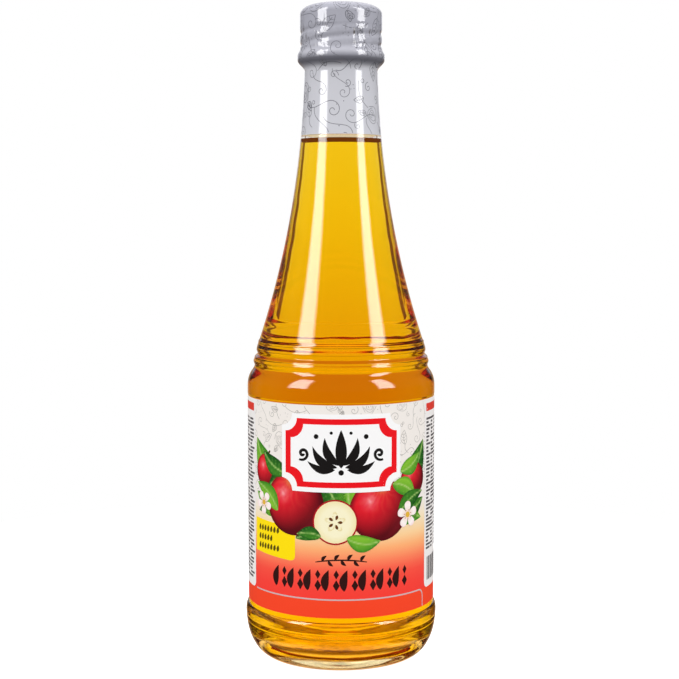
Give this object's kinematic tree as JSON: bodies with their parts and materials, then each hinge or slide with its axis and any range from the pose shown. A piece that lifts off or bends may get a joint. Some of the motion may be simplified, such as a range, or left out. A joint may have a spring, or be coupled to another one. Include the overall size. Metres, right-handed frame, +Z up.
{
  "type": "vinegar bottle",
  "caption": "Full glass vinegar bottle with a long flared neck, shoulder rings, wrap-round label, and a shrink sleeve over its screw cap.",
  "frame": {"origin": "middle of the base, on the plane of the standing ring", "axes": "+Z up along the bottle's axis, -Y towards the front of the label, +X to the right of the label"},
  "size_m": [0.0742, 0.0742, 0.2492],
  "materials": {
    "clear_glass": "clear, smooth",
    "golden_vinegar": "clear liquid",
    "printed_label": "printed, satin",
    "cap_aluminium": "satin",
    "sleeve_film": "silver film, glossy"
  },
  "bodies": {
    "root": {"glass_bottle": "clear_glass", "vinegar": "golden_vinegar", "label": "printed_label", "screw_cap": "cap_aluminium", "shrink_sleeve": "sleeve_film"}
  },
  "joints": []
}
